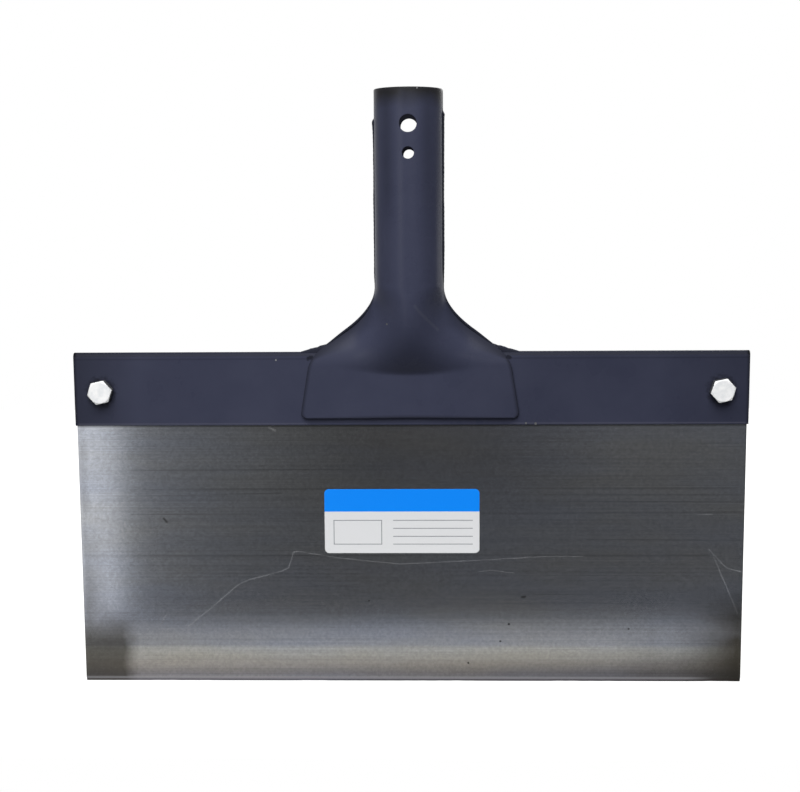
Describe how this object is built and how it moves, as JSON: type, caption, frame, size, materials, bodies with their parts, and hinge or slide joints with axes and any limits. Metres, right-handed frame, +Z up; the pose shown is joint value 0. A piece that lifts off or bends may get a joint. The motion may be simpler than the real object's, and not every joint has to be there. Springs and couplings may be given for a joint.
{
  "type": "floor scraper head",
  "caption": "Wide floor scraper head: a replaceable ground steel blade bolted into a folded sheet holder, with a pressed and welded pole socket that flares onto it.",
  "frame": {"origin": "centre of the pole socket's mouth", "axes": "+Z up along the pole and out of the socket, +X along the blade's cutting edge to the right as seen from the front, -Y towards the front, where the bolt heads and the label are"},
  "size_m": [0.301, 0.0302, 0.2665],
  "materials": {
    "painted_steel": "satin dark blue-grey enamel, bare at the rim",
    "ground_steel": "ground along the blade, oiled, with light scratches",
    "zinc_plate": "bright zinc plate",
    "label_stock": "semi-gloss film, white with a plain blue band"
  },
  "bodies": {
    "head": {"blade": "ground_steel", "blade_holder": "painted_steel", "socket_front_shell": "painted_steel", "socket_rear_shell": "painted_steel", "seam_weld_left": "painted_steel", "seam_weld_right": "painted_steel", "toe_weld_left": "painted_steel", "toe_weld_right": "painted_steel", "bolt_left": "zinc_plate", "bolt_right": "zinc_plate", "label": "label_stock"},
    "washer_left": {"washer_left": "zinc_plate"},
    "nut_left": {"nut_left": "zinc_plate"},
    "washer_right": {"washer_right": "zinc_plate"},
    "nut_right": {"nut_right": "zinc_plate"}
  },
  "joints": [
    {"name": "washer_left_slide", "type": "slide", "parent": "head", "child": "washer_left", "axis": [0, 1, 0], "range_m": [0, 0.008]},
    {"name": "nut_left_turn", "type": "hinge", "parent": "washer_left", "child": "nut_left", "pos_m": [-0.1383, 0, -0.1319], "axis": [0, 1, 0], "range_deg": [0, 2880]},
    {"name": "washer_right_slide", "type": "slide", "parent": "head", "child": "washer_right", "axis": [0, 1, 0], "range_m": [0, 0.008]},
    {"name": "nut_right_turn", "type": "hinge", "parent": "washer_right", "child": "nut_right", "pos_m": [0.1383, 0, -0.1319], "axis": [0, 1, 0], "range_deg": [0, 2880]}
  ],
  "couplings": [
    {"joint": "nut_left_turn", "follows": "washer_left_slide", "rad_per_m": 6283.2},
    {"joint": "nut_right_turn", "follows": "washer_right_slide", "rad_per_m": 6283.2}
  ]
}
